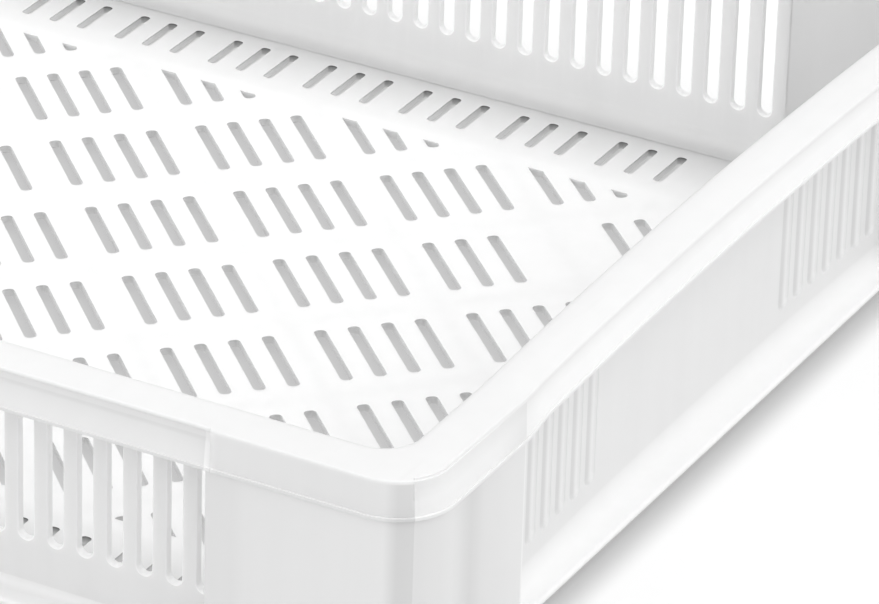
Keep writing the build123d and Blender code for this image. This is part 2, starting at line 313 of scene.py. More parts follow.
def outward_of(path):
    """Unit direction square to a path seen from above, to the right of its run."""
    run = np.gradient(path, axis=0)
    run /= np.linalg.norm(run, axis=1, keepdims=True)
    return np.stack([run[:, 1], -run[:, 0]], axis=1)


def swept(path, outward, section):
    """Section carried along a path: each point is the path's point plus its outward part, at its height."""
    flat = path[:, None, :] + outward[:, None, :] * section[..., 0:1]
    upright = np.broadcast_to(section[..., 1:2], flat.shape[:2] + (1,))
    return np.concatenate([flat, upright], axis=-1)


def directions(degrees):
    """Points of a circle of radius one: cosine and sine of each angle."""
    turn = np.radians(degrees)
    return np.stack([np.cos(turn), np.sin(turn)], axis=1)


def smooth(share):
    """Share s from 0 to 1 that starts and ends softly: s^2 (3 - 2s)."""
    return share**2 * (3 - 2 * share)


def without_repeats(loop):
    """A closed loop of points less those that repeat the point before them."""
    same_place = 1e-6
    return loop[np.linalg.norm(loop - np.roll(loop, 1, axis=0), axis=1) > same_place]


def make_piece(name, points, faces, nodes, material, tone=None, ends=()):
    """One new piece from points in millimetres: faces outwards, normals weighted by area, in place of nodes.

    Faces with no area, as points in the same place give them, are left out. Each of the ends is a loop of
    points of its own that one flat face closes. A face's normal, as long as twice its area, is the sum of
    the cross products of its corners, each with the next. If the volume comes out below zero, all faces turn.
    """
    smallest_face = 1e-12
    ends = [without_repeats(loop) for loop in ends]
    tone = np.zeros(points.size // 3) if tone is None else np.asarray(tone, float).ravel()
    tone = np.append(tone, np.zeros(sum(len(loop) for loop in ends)))
    faces = list(faces)
    first = points.size // 3
    for loop in ends:
        faces.append(first + np.arange(len(loop))[None, :])
        first += len(loop)
    points = np.concatenate([points.reshape(-1, 3)] + ends) * MM
    volume = 0
    normals = np.zeros_like(points)
    kept = []
    for kind in faces:
        corners = points[kind]
        face_normals = np.cross(corners, np.roll(corners, -1, axis=1)).sum(axis=1)
        real = np.linalg.norm(face_normals, axis=1) > smallest_face
        kept.append(kind[real])
        volume += np.sum(corners.mean(axis=1) * face_normals)
        for corner in kind[real].T:
            np.add.at(normals, corner, face_normals[real])
    used = np.unique(np.concatenate([kind.ravel() for kind in kept]))
    place = np.zeros(len(points), int)
    place[used] = np.arange(len(used))
    turn = -1 if volume < 0 else 1
    faces = [place[kind][:, ::turn].tolist() for kind in kept]
    normals = turn * normals[used]
    normals /= np.maximum(np.linalg.norm(normals, axis=1, keepdims=True), smallest_face)
    mesh = bpy.data.meshes.new(name)
    mesh.from_pydata(points[used], [], [face for kind in faces for face in kind])
    mesh.shade_smooth()
    mesh.normals_split_custom_set_from_vertices(normals)
    mesh.attributes.new("tone", "FLOAT", "POINT").data.foreach_set("value", tone[used])
    mesh.materials.append(material)
    piece = bpy.data.objects.new(name, mesh)
    bpy.context.scene.collection.objects.link(piece)
    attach(piece, "root")
    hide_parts(*nodes)


def make_copies(name, sides, points, faces, ends, nodes, material, tone):
    """Copies of a piece on several sides of the tray, each with its own signs of X, Y and Z."""
    for side, signs in sides.items():
        replaced = [f"{node}_{side}" for node in nodes]
        closed = [loop * signs for loop in ends]
        make_piece(f"{name}_{side}", points * signs, [faces], replaced, material, tone, closed)


def bowed_x(offset, y):
    """X of the bowed right-hand end at y, the offset counted outward from its inner face."""
    radius = lip_bow_radius + half_length - inside_x - offset
    return bow_center_x - np.sqrt(radius**2 - y**2)


def rim_sections():
    """The rim's five sections: slotted side, post's side, post's end with a step and plain, and grip.

    A section's points are (outward from the inner face, height). Each has the same corners in turn: inner
    face, top, edge of the top, four points down the skirt, the lip's bead and the underside. The slotted
    side has a recessed band under its edge. The post's end has a small step at its edge. The grip and the
    post's end drop upright, then flare.
    """
    width = half_length - inside_x
    top_edge = height - rim_edge_height

    def section(edge, turns, bead, bottom, ease=rim_edge_ease):
        lip_top = bottom + lip_edge
        outer = [(edge, height, ease)] + turns
        outer += [(bead, lip_top, 0.1), (0, lip_top, 0.2), (0, bottom, 0.3), (skirt_thickness, bottom, 0.4)]
        outer += [(seam_depth, rim_bottom - skirt_thickness, 1), (seam_depth, rim_bottom, 1)]
        inner = [(0, rim_bottom, 0.2), (0, height, rim_inner_ease)]
        return eased(inner + [(width - depth, up, ease) for depth, up, ease in outer])

    def upright(edge):
        return [(edge, height - down, 0.1) for down in (1.2, 1.6)]

    def flared(edge, bottom, straight):
        fall = height - straight - bottom - lip_edge
        bend = [(edge, height - straight, 1.4)]
        return bend + [(end_bead + 0.5 * (edge - end_bead), height - straight - 0.5 * fall, 1)]

    band = slotted_flare + band_recess
    recess = [(slotted_flare, top_edge, 0.3), (band, top_edge - 0.3, 0.3)]
    recess += [(band, height - 0.7 * band_depth, 0.3), (band, height - band_depth, 0.6)]
    slotted = section(slotted_flare, recess, side_bead, lip_bottom)

    drop = height - lip_bottom - lip_edge
    shares = (0.15, 0.3, 0.5, 0.75)
    ramp = [(post_flare - share * (post_flare - side_bead), height - share * drop, 0.4) for share in shares]
    post_side = section(post_flare, ramp, side_bead, lip_bottom)

    stepped = end_flare + end_step_width
    step = [(stepped, height - end_step_drop, 0.1), (end_flare, height - end_step_drop, 0.25)]
    end_turns = flared(end_flare, lip_bottom, end_upright)
    stepped_end = section(stepped, step + end_turns, end_bead, lip_bottom, ease=0.25)
    plain_end = section(end_flare, upright(end_flare) + end_turns, end_bead, lip_bottom)
    grip_turns = upright(grip_flare) + flared(grip_flare, grip_lip_bottom, grip_upright)
    grip = section(grip_flare, grip_turns, end_bead, grip_lip_bottom)
    return slotted, post_side, stepped_end, plain_end, grip


def rim_quarter():
    """A quarter of the rim as a grid with its tones, from the front's middle to the right end's middle.

    At each station the inner corners of the section stand on the inside's outline and the outer ones on
    the lip's. The sections meet at the post, at the parting line in the corner and at the grip. Round the
    corner the end's edge moves in from the parting line; at the grip the joint runs slanting down the flare.
    A station's kind is 0 on the slotted side, 1 on the post's side, 2 on the post's end and 3 on the grip.
    """
    lip_center = np.array([post_lip_x - lip_corner_radius, lip_corner_radius - half_width])
    inner_center = np.array([inside_x - inside_corner_radius, inside_corner_radius - inside_y])

    slotted_x = np.concatenate([np.linspace(0, post_x - 6, 40), post_x + post_joint])
    post_share = np.concatenate([[0.022, 0.06], np.linspace(0.12, 1, 7)[:-1]])
    lip_x = np.concatenate([slotted_x, post_x + post_share * (lip_center[0] - post_x)])
    inner_x = np.concatenate([slotted_x, post_x + post_share * (inner_center[0] - post_x)])
    round_corner = directions(corner_turns)
    end_share = np.linspace(0, 1, 9)[1:]
    lip_y = lip_center[1] + end_share * (-junction_y - lip_center[1])
    inner_y = inner_center[1] + end_share * (-junction_y - inner_center[1])
    grip_y = np.concatenate([[hair - junction_y], np.linspace(2 - junction_y, 0, 50)])

    def outline(side_x, center, radius, straight_x, end_y, offset):
        side = np.stack([side_x, np.full_like(side_x, center[1] - radius)], axis=1)
        end = np.stack([np.full_like(end_y, straight_x), end_y], axis=1)
        grip = np.stack([bowed_x(offset, grip_y), grip_y], axis=1)
        return np.concatenate([side, center + radius * round_corner, end, grip])

    lip = outline(lip_x, lip_center, lip_corner_radius, post_lip_x, lip_y, half_length - inside_x)
    inner = outline(inner_x, inner_center, inside_corner_radius, inside_x, inner_y, 0)
    inner[-len(grip_y):, 0] += (inside_x - bowed_x(0, junction_y)) * np.linspace(1, 0, len(grip_y))
    ends = len(lip_y) + len(grip_y)
    outward = np.concatenate([np.tile((0, -1), (len(lip_x), 1)), round_corner, np.tile((1, 0), (ends, 1))])

    counts = [len(slotted_x), len(post_share) + corner_steps, corner_steps + len(lip_y), len(grip_y)]
    kind = np.repeat(np.arange(4), counts)
    slotted, post_side, stepped_end, plain_end, grip = rim_sections()
    section = np.stack([slotted, post_side, stepped_end, grip])[kind]
    along_end = np.linspace(0, 1, counts[2])[:, None, None]
    section[kind == 2] = (1 - along_end) * stepped_end + along_end * plain_end
    inner_points = 2 * ease_steps
    inside = swept(inner, outward, section[:, :inner_points])

    outer = section[:, inner_points:] - (half_length - inside_x, 0)
    on_flare = slice(0, 5 * ease_steps)
    narrower = np.ones(len(kind))
    to_corner = np.append(post_share, np.ones(corner_steps))
    narrower[kind == 1] = 1 - to_corner * (1 - corner_flare / post_flare)
    from_parting = np.append(np.linspace(0, 1, corner_steps), np.ones(len(lip_y)))
    narrower[kind == 2] = 1 - (1 - from_parting) * (1 - parting_flare / end_flare)
    outer[:, on_flare, 0] *= narrower[:, None]

    begun = smooth(np.clip((grip_y + junction_y) / grip_start, 0, 1))[:, None, None]
    inset = (post_lip_x - lip[kind == 3, 0])[:, None]
    from_post = np.tile(plain_end[inner_points:] - (half_length - inside_x, 0), (len(grip_y), 1, 1))
    from_post[..., 0] += inset
    outer[kind == 3] = (1 - begun) * from_post + begun * outer[kind == 3]
    outside = swept(lip, outward, outer)

    beyond_side = outer[..., 0] + np.where(kind == 0, slotted_flare, post_flare)[:, None]
    beyond_end = outside[..., 0] - post_lip_x + end_flare
    beyond = np.maximum(np.where((kind < 2)[:, None], beyond_side, beyond_end), 0)
    near_grip = np.zeros(len(kind))
    near_grip[kind == 2] = np.append(np.zeros(corner_steps), end_share)
    near_grip[kind == 3] = np.maximum(1 - np.arange(len(grip_y)) / 8, 0)
    outside[..., 1] -= junction_slant * near_grip[:, None] * beyond
    near_post = np.isin(np.arange(len(kind)), counts[0] + np.arange(-3, 2))
    outside[..., 0] += post_slant * near_post[:, None] * beyond

    # Painted shade and painted light round the rim, as listed with the rim's tones
    tone = np.zeros(outside.shape[:2])
    step = ease_steps
    tone[kind == 0, 2 * step:4 * step] = rim_edge_painted_shade
    tone[kind == 0, 4 * step:8 * step] = slotted_skirt_painted_shade
    tone[kind == 1, step:8 * step] = post_skirt_painted_shade
    tone[counts[0] - 2:counts[0] + 1, step:] = post_joint_painted_highlight
    tone[kind == 2, 2 * step:4 * step] = rim_edge_painted_shade
    by_grip = np.clip((near_grip - 1 + grip_joint_fade) / grip_joint_fade, 0, 1)
    by_grip = np.where(kind == 2, by_grip, 0)[:, None]
    tone[:, 2 * step:6 * step] = (1 - by_grip) * tone[:, 2 * step:6 * step] + by_grip * grip_joint_painted_shade
    tone[kind == 3, step:3 * step] = grip_edge_painted_shade
    tone[kind == 3, 4 * step:7 * step] = grip_flare_painted_light
    # A darker strip before the parting line
    strip = np.zeros(len(kind))
    strip[counts[0] + len(post_share):counts[0] + counts[1]] = strip_share
    tone[:, step:8 * step] += skirt_strip_tone * strip[:, None]
    tone = np.concatenate([np.zeros(inside.shape[:2]), tone], axis=1)
    return np.concatenate([inside, outside], axis=1), tone


def make_rim(material):
    """The whole rim with its turned-down edge: a quarter, its mirror image and their half turn, in a ring."""
    quarter, tone = rim_quarter()
    mirrored = quarter[::-1] * (1, -1, 1)
    half = np.concatenate([quarter, mirrored[1:]])
    ring = np.concatenate([half[:-1], half[:-1] * (-1, -1, 1)])
    half_tone = np.concatenate([tone, tone[::-1][1:]])
    ring_tone = np.concatenate([half_tone[:-1], half_tone[:-1]])
    faces = grid_faces(*ring.shape[:2], close_rows=True, close_columns=True)
    corners = ("front_left", "front_right", "rear_left", "rear_right")
    nodes = [f"rim_{side}" for side in ("front", "rear", "left", "right")]
    nodes += [f"rim_corner_{corner}" for corner in corners]
    nodes += ["skirt_front", "skirt_rear", "grip_flange_left", "grip_flange_right"]
    nodes += [f"skirt_corner_{corner}" for corner in corners]
    make_piece("rim_band", ring, [faces], nodes, material, ring_tone)


def foot_curve():
    """The quarter circle from a wall's inner face down to the floor, and the edge hidden in the floor plate.

    Points are (outward from the inner face, height).
    """
    quarter = directions(np.linspace(0, 90, 9)) * (foot_radius, -foot_radius) + (-foot_radius, foot_top)
    hidden = [(-foot_radius, floor_top - hair), (-foot_radius, floor_bottom + hair)]
    return np.concatenate([quarter, hidden])


def foot_section(thickness, ledge, cove):
    """Section of a wall's foot from its inner to its outer face, as (outward from the inner face, height).

    Inside, a quarter circle runs down to the floor. Outside, a quarter of an ellipse, the cove, as wide and
    high as given, runs down to the ledge's flat top.
    """
    curve = (1 - directions(np.linspace(0, 90, 13))[:, ::-1]) * cove + (thickness, floor_top)
    edge = eased(
        [
            (-foot_radius, floor_bottom, 0),
            (ledge, floor_bottom, ledge_ease),
            (ledge, floor_top, ledge_ease),
            (thickness + cove[0], floor_top, 0),
        ],
        closed=False,
    )
    return np.concatenate([foot_curve(), edge[1:-1], curve])


def make_side_walls(material):
    """The long walls: a row of cells, each with an upright slot, over a foot with its ledge.

    A cell is a closed loop carried across the wall: from its rectangle on the outer face to the slot's
    outline, over a quarter-round edge, through the wall, over the other edge and out to the rectangle
    on the inner face. The slot's outline is two half circles joined by straight sides.
    """
    thickness = wall_outer_y - inside_y
    slot_low = floor_top + wall_slot_sill + wall_slot_width / 2
    slot_high = rim_bottom - wall_slot_head - wall_slot_width / 2
    count = int((post_x - wall_slot_margin - wall_slot_width / 2) / wall_slot_pitch)
    places = np.arange(-count, count + 1) * wall_slot_pitch

    arc = 11
    turn = np.radians(np.linspace(0, 180, arc))
    turn = np.concatenate([turn, turn + np.pi])
    middle = np.repeat([slot_high, slot_low], arc)
    edge_turn = np.radians(np.linspace(0, 90, 5))
    grow = wall_slot_ease * (1 - np.sin(edge_turn))
    sink = wall_slot_ease * (1 - np.cos(edge_turn))
    radius = wall_slot_width / 2 + np.concatenate([grow, grow[::-1]])
    depth = np.concatenate([thickness - sink, sink[::-1]])
    slot_x = np.cos(turn)[:, None] * radius
    slot_z = middle[:, None] + np.sin(turn)[:, None] * radius

    across = np.linspace(1, -1, arc)
    border_x = np.concatenate([across, -across]) * wall_slot_pitch / 2
    border_z = np.repeat([rim_bottom, foot_top], arc)
    cell_x = np.concatenate([border_x[:, None], slot_x, border_x[:, None]], axis=1)
    cell_z = np.concatenate([border_z[:, None], slot_z, border_z[:, None]], axis=1)
    cell_depth = np.concatenate([[thickness], depth, [0]])
    rings = cell_x.shape[1]

    x = places[:, None, None] + cell_x
    at_end = np.isclose(np.abs(x), places[-1] + wall_slot_pitch / 2)
    x = np.where(at_end, np.sign(x) * post_x, x)
    y = np.broadcast_to(-inside_y - cell_depth, x.shape)
    z = np.broadcast_to(cell_z, x.shape)
    cells = np.stack([x, y, z], axis=-1)
    one_cell = grid_faces(2 * arc, rings, close_rows=True)
    cell_faces = (np.arange(len(places))[:, None, None] * 2 * arc * rings + one_cell).reshape(-1, 4)

    section = foot_section(thickness, ledge_y - inside_y, side_cove)
    section[0, 1] = foot_top
    section = np.concatenate([section, [[thickness, foot_top]]])
    stations = np.unique(np.round(x[:, arc:, 0], 6))
    path = np.stack([stations, np.full_like(stations, -inside_y)], axis=1)
    outward = outward_of(path)
    foot = swept(path, outward, section)
    foot_faces = grid_faces(*foot.shape[:2]) + cells.size // 3
    head = swept(path, outward, np.array([[thickness, rim_bottom], [0, rim_bottom]]))
    ends = [np.concatenate([foot[0], head[0]]), np.concatenate([foot[-1], head[-1]])[::-1]]
    ends.append(np.concatenate([head[:, 0], head[::-1, 1]]))

    # Painted light in the slots, most on the sills, and on the inner face towards its foot
    low = np.clip((low_tone_top - cell_z) / low_tone_fade, 0, 1)
    sill_tone = slot_side_painted_light + slot_sill_painted_light * np.clip(-np.sin(turn), 0, 1)[:, None]
    cell_tone = np.where(cell_depth >= thickness, 0, sill_tone)
    cell_tone = np.where(cell_depth <= 0, wall_low_painted_light * low + wall_inner_tone, cell_tone)
    cell_tone = np.broadcast_to(cell_tone, x.shape)
    # Painted shade down the foot's curve, deepest at the floor's joint
    down = np.clip((foot_top - section[:, 1]) / foot_radius, 0, 1)
    start, slope, bend = foot_painted_shade
    foot_tone = np.where(section[:, 0] > 0, 0, start + slope * down + bend * down**2)
    # Painted light on the side ledge
    foot_tone = np.where(section[:, 0] > thickness, side_ledge_painted_light, foot_tone)
    foot_tone = np.where((down > 0.99) & (section[:, 0] < 0), floor_joint_painted_shade, foot_tone)
    foot_tone = np.broadcast_to(foot_tone, foot.shape[:2])
    tone = np.concatenate([cell_tone.ravel(), foot_tone.ravel()])

    points = np.concatenate([cells.reshape(-1, 3), foot.reshape(-1, 3)])
    faces = np.concatenate([cell_faces, foot_faces])
    sides = {"front": (1, 1, 1), "rear": (-1, -1, 1)}
    make_copies("slotted_wall", sides, points, faces, ends, ["side_wall", "ledge"], material, tone)


def make_end_walls(material):
    """The short walls: one section carried along the bowed end, with blind flutes sunk into its outer face.

    A flute is a shallow flat-bottomed groove with a half-round lower end. Its depth rises from the outline
    as the sine of a quarter turn: the depth times sin(q x 90 degrees), q growing from 0 to 1 inwards.
    The wall follows the bow; down its cove the section moves out until the ledge's edge is straight.
    """
    half_flute = flute_width / 2
    flute_low = floor_top + flute_sill + half_flute
    flute_high = rim_bottom - flute_head
    flute_y = flute_first + flute_pitch * np.arange(flute_count)
    flute_y = np.concatenate([-flute_y[::-1], flute_y])
    inward = flute_edge * np.array([0, 0.03, 0.1, 0.25, 0.5, 0.75, 1])
    across = np.concatenate([[-half_flute - flute_margin], inward - half_flute, [-1.5, 0, 1.5]])
    across = np.concatenate([across, half_flute - inward[::-1], [half_flute + flute_margin]])
    plain = np.linspace(-1, 1, 9) * (flute_first - flute_pitch)
    stations = np.unique(np.concatenate([(flute_y[:, None] + across).ravel(), plain, [-post_y, post_y]]))

    rise = np.concatenate(
        [
            np.linspace(floor_top + end_cove[1] + 1, flute_low - half_flute - flute_margin, 4),
            np.linspace(flute_low - half_flute, flute_low + 0.5, 26),
            np.linspace(flute_low + 0.5, flute_high - flute_margin, 12)[1:],
            [flute_high, flute_high + flute_margin, rim_bottom],
        ]
    )
    foot = foot_section(end_wall_thickness, ledge_x - end_ledge_trim - inside_x, end_cove)
    face = np.stack([np.full_like(rise, end_wall_thickness), rise], axis=1)
    inner = [[0, rim_bottom]]
    profile = np.concatenate([inner, foot, face, inner])
    path = np.stack([bowed_x(0, stations), stations], axis=1)
    section = np.broadcast_to(profile, (len(stations),) + profile.shape).copy()

    on_face = slice(1 + len(foot), -1)
    beside = stations[:, None, None] - flute_y
    below = np.minimum(rise[None, :] - flute_low, 0)
    apart = np.sqrt(beside**2 + below[..., None] ** 2)
    inside_flute = np.clip((half_flute - apart) / flute_edge, 0, 1).max(axis=2)
    sunk = flute_depth * np.sin(inside_flute * np.pi / 2)
    sunk = np.where(rise[None, :] > flute_high, 0, sunk)
    section[:, on_face, 0] -= sunk
    # Painted light on the ledge, strongest on its flat top and fading up the cove
    down_cove = np.sqrt(np.clip(1 - (profile[:, 1] - floor_top) / end_cove[1], 0, 1))
    on_ledge = np.where(profile[:, 0] > end_wall_thickness, down_cove, 0)
    tone = np.broadcast_to(end_ledge_painted_light * on_ledge + end_wall_tone, section.shape[:2]).copy()
    # Painted shade on each flute's near side and painted light on its far side
    across_flute = beside / flute_width
    nearest = np.take_along_axis(across_flute, np.abs(beside).argmin(axis=2)[..., None], axis=2)[..., 0]
    far_side = np.clip((nearest - flute_light_start) / flute_light_fade, 0, 1)
    flute_tone = flute_painted_light_rise * smooth(far_side) + flute_near_painted_shade
    tone[:, on_face] = end_wall_tone + flute_tone * np.minimum(3 * inside_flute, 1)
    ledge_part = section[..., 0] > end_wall_thickness + 0.1
    straighten = (inside_x - path[:, 0])[:, None]
    reach = np.clip((section[..., 0] - end_wall_thickness) / end_cove[0] * 2 - 0.8, 0, 1)
    section[..., 0] += np.where(ledge_part, straighten * reach, 0)

    points = swept(path, outward_of(path), section)
    faces = grid_faces(*points.shape[:2])
    ends = [points[0], points[-1][::-1]]
    sides = {"right": (1, 1, 1), "left": (-1, -1, 1)}
    make_copies("fluted_wall", sides, points, faces, ends, ["end_wall", "ledge"], material, tone)


def make_corner_posts(material):
    """The corner posts: a skin carried round the outside of the corner and a wall round the inside.

    Both are closed sections carried along a path of straight runs and arcs; the inner wall has the floor's
    quarter-round foot. The skin's tone runs in upright bands: a painted highlight down the end's edge, a
    darker strip before the parting line and darker bands across the side, the corner and the end. Mirror
    images and half turns make the others.
    """
    corner = np.array([post_lip_x - lip_corner_radius, lip_corner_radius - half_width])
    radius = post_face_x - corner[0]
    side_start, side_end = (post_x, -wall_outer_y, 0), (*corner - (0, radius), 0)
    start = eased([side_start, (post_x, -post_face_y, post_side_ease), side_end], post_ease_steps, False)
    end_start = (*corner + (radius, 0), 0)
    end_end = (bowed_x(end_wall_thickness, post_edge_y), -post_edge_y, 0)
    end_edge = (post_face_x, -post_edge_y, post_end_ease)
    finish = eased([end_start, end_edge, end_end], post_ease_steps, False)
    side_x = post_x + post_side_bands
    side_run = np.stack([side_x, np.full_like(side_x, -post_face_y)], axis=1)
    end_run = np.stack([np.full_like(post_end_bands, post_face_x), -post_edge_y - post_end_bands], axis=1)
    bend = corner + radius * directions(corner_turns)
    skin_path = np.concatenate([start[:-1], side_run, bend, end_run, finish[1:]])
    # A painted highlight down the end's edge; darker bands elsewhere
    side_edge_tone, end_edge_highlight, last_tone = post_edge_shade_and_highlight
    bands = [np.full(len(start) - 1, side_edge_tone), post_side_tones]
    bands += [post_strip_tone * strip_share, np.full(corner_steps, post_corner_tone)]
    bands += [post_end_tones, np.full(len(finish) - 2, end_edge_highlight), [last_tone]]
    skin_section = eased(
        [
            (0, floor_bottom, 1),
            (0, lip_bottom + post_skin_overlap, 0.1),
            (-post_skin, lip_bottom + post_skin_overlap, 0.1),
            (-post_skin, floor_bottom, 1),
        ]
    )
    skin = swept(skin_path, outward_of(skin_path), skin_section)
    skin_tone = np.broadcast_to(np.concatenate(bands)[:, None], skin.shape[:2])

    inner_corner = np.array([inside_x - inside_corner_radius, inside_corner_radius - inside_y])
    round_corner = directions(np.linspace(-90, 0, 25))
    bend = inner_corner + inside_corner_radius * round_corner
    wall_path = np.concatenate([[(post_x, -inside_y)], bend, [(inside_x, -post_y)]])
    wall_outward = np.concatenate([[(0, -1)], round_corner, [(1, 0)]])
    thickness = wall_outer_y - inside_y
    back = [(hair - foot_radius, floor_bottom), (thickness - hair, floor_bottom)]
    back += [(thickness, floor_bottom + hair), (thickness, rim_bottom - hair)]
    back += [(thickness - hair, rim_bottom), (hair, rim_bottom)]
    wall_section = np.concatenate([[(0, rim_bottom - hair)], foot_curve(), back])
    wall = swept(wall_path, wall_outward, wall_section)
    # Painted shade on the post's inner foot; the wall above a little greyer
    wall_tone = np.where(wall_section[:, 1] > foot_top, post_inside_tone, post_foot_painted_shade)
    wall_tone = np.broadcast_to(wall_tone, wall.shape[:2])

    skin_faces = grid_faces(*skin.shape[:2], close_columns=True)
    wall_faces = grid_faces(*wall.shape[:2], close_columns=True) + skin.size // 3
    points = np.concatenate([skin.reshape(-1, 3), wall.reshape(-1, 3)])
    faces = np.concatenate([skin_faces, wall_faces])
    tone = np.concatenate([skin_tone.ravel(), wall_tone.ravel()])
    ends = [skin[0], skin[-1][::-1], wall[0], wall[-1][::-1]]
    sides = {"front_right": (1, 1, 1), "rear_left": (-1, -1, 1)}
    sides |= {"front_left": (-1, 1, 1), "rear_right": (1, -1, 1)}
    make_copies("post", sides, points, faces, ends, ["corner_post"], material, tone)


def lattice_cells():
    """Middles of the square cells of a lattice turned 45 degrees, and half the diagonal of a cell."""
    half_diagonal = cell_pitch / np.sqrt(2)
    reach = int((inside_x + inside_y) / half_diagonal)
    column, row = np.mgrid[-reach:reach + 1, -reach:reach + 1].reshape(2, -1)
    odd = (column + row) % 2 == 1
    return np.stack([column[odd], row[odd]], axis=1) * half_diagonal, half_diagonal


def slot_places():
    """Middles of the lattice's slots, less those on the plain pads, and of the slots by the long walls."""
    cells, half_diagonal = lattice_cells()
    steps = (np.arange(cell_slots) - (cell_slots - 1) / 2) * floor_slot_pitch / np.sqrt(2)
    lattice = (cells[:, None, :] + steps[None, :, None]).reshape(-1, 2)
    pad = np.array(pad_cells) * half_diagonal
    to_pads = [np.linalg.norm(lattice - middle, axis=1) for middle in (pad, -pad)]
    plain = np.minimum(*to_pads) < pad_reach
    within = np.all(np.abs(lattice) < np.array([lattice_x, lattice_y]) + floor_slot_length, axis=1)
    lattice = lattice[within & ~plain] + lattice_shift

    groups = int((lattice_x - border_group_slots * floor_slot_pitch / 2) / border_group_pitch)
    middles = np.arange(-groups, groups + 1) * border_group_pitch
    offsets = (np.arange(border_group_slots) - (border_group_slots - 1) / 2) * floor_slot_pitch
    border_x = (middles[:, None] + offsets).ravel()
    border_y = inside_y - border_slot_gap - border_slot_length / 2
    border = np.stack([np.tile(border_x, 2), np.repeat([-border_y, border_y], len(border_x))], axis=1)
    return lattice, border


def slot_outlines(lattice, border, grow):
    """Outlines of all slots of the floor, grown by a margin, as points along each slot and across it.

    Across the slot at v, a slot reaches from -(h + q) to h + q along it. With r half its width, q is
    r (1 - |v / r|^p)^(1/p), an end a little squarer than a half circle. A lattice slot is also cut off at
    the lattice's border, which is a limit on the reach at each v. The area left of each comes with them.
    """
    radius = floor_slot_width / 2 + grow
    border_radius = border_slot_width / 2 + grow
    turn = np.linspace(0, np.pi, 12)

    def end_reach(v):
        return np.maximum(1 - np.abs(v) ** slot_end_power, 0) ** (1 / slot_end_power)

    def limits(places, v):
        half = (floor_slot_length - floor_slot_width) / 2 + radius * end_reach(v / radius)
        x, y = (places[:, 0:1], places[:, 1:2])
        side, end = lattice_y + grow, lattice_x + grow
        high = np.minimum(half, np.minimum(np.sqrt(2) * (end - x) - v, np.sqrt(2) * (side + y) + v))
        low = np.maximum(-half, np.maximum(-np.sqrt(2) * (end + x) - v, v - np.sqrt(2) * (side - y)))
        return low, high

    narrowest = 0.2
    trial = np.linspace(-radius, radius, 241)[None, :]
    low, high = limits(lattice, trial)
    open_here = high - low > narrowest
    first = np.where(open_here, trial, radius).min(axis=1, keepdims=True)
    last = np.where(open_here, trial, -radius).max(axis=1, keepdims=True)
    area = np.sum(np.maximum(high - low, 0), axis=1) * (trial[0, 1] - trial[0, 0])
    v = (first + last) / 2 + (last - first) / 2 * np.cos(turn)
    low, high = limits(lattice, v)
    along = np.concatenate([high, low[:, ::-1]], axis=1)
    across = np.concatenate([v, v[:, ::-1]], axis=1)
    slanted = lattice[:, None, :] + np.stack([along + across, across - along], axis=-1) / np.sqrt(2)

    v = border_radius * np.cos(turn)
    reach = (border_slot_length - border_slot_width) / 2 + border_radius * end_reach(np.cos(turn))
    upright = np.stack([np.concatenate([v, v[::-1]]), np.concatenate([reach, -reach[::-1]])], axis=1)
    return slanted, border[:, None, :] + upright, area


def holed_plate(loops, rise, outline):
    """Points and faces of a flat plate with holes, each hole a stack of loops carried down at its heights.

    The flat faces above and below fill the space between the plate's outline and the loops. A loop that
    runs the other way round, by the sign of its area, has its faces turned.
    """
    holes, rings, around = loops.shape[:3]
    edge = len(outline)
    upright = np.broadcast_to(rise[..., None, None], (holes, rings, around, 1))
    hole_points = np.concatenate([loops, upright], axis=-1).reshape(-1, 3)
    outer = [np.concatenate([outline, np.full((edge, 1), up)], axis=1) for up in (rise[0, 0], rise[0, -1])]
    one_hole = grid_faces(rings, around, close_columns=True)
    hole_faces = np.arange(holes)[:, None, None] * rings * around + one_hole
    here, following = loops[:, 0], np.roll(loops[:, 0], -1, axis=1)
    swept_area = np.sum(here[..., 0] * following[..., 1] - following[..., 0] * here[..., 1], axis=1)
    hole_faces[swept_area > 0] = hole_faces[swept_area > 0][..., ::-1]
    outer_faces = grid_faces(2, edge, close_columns=True) + len(hole_points)

    flat = np.concatenate([loops[:, 0].reshape(-1, 2), outline])
    owner = np.concatenate([np.repeat(np.arange(holes), around), np.full(edge, holes)])
    run = np.arange(len(flat))
    first_of = np.concatenate([np.repeat(np.arange(holes) * around, around), np.full(edge, holes * around)])
    length_of = np.concatenate([np.full(holes * around, around), np.full(edge, edge)])
    bounds = np.stack([run, first_of + (run - first_of + 1) % length_of], axis=1)
    filled = delaunay_2d_cdt([Vector(point) for point in flat.tolist()], bounds.tolist(), [], 1, 1e-6)
    source = np.array([group[0] for group in filled[3]])
    flat_faces = source[np.array(filled[2])]
    in_hole = np.ptp(owner[flat_faces], axis=1) == 0
    flat_faces = flat_faces[~in_hole | (owner[flat_faces[:, 0]] == holes)]

    top = (np.arange(holes)[:, None] * rings * around + np.arange(around)).ravel()
    top = np.concatenate([top, len(hole_points) + np.arange(edge)])
    below = (np.arange(holes)[:, None] * rings * around + (rings - 1) * around + np.arange(around)).ravel()
    below = np.concatenate([below, len(hole_points) + edge + np.arange(edge)])
    points = np.concatenate([hole_points] + outer)
    quads = np.concatenate([hole_faces.reshape(-1, 4), outer_faces])
    return points, [quads, np.concatenate([top[flat_faces], below[flat_faces[:, ::-1]]])]


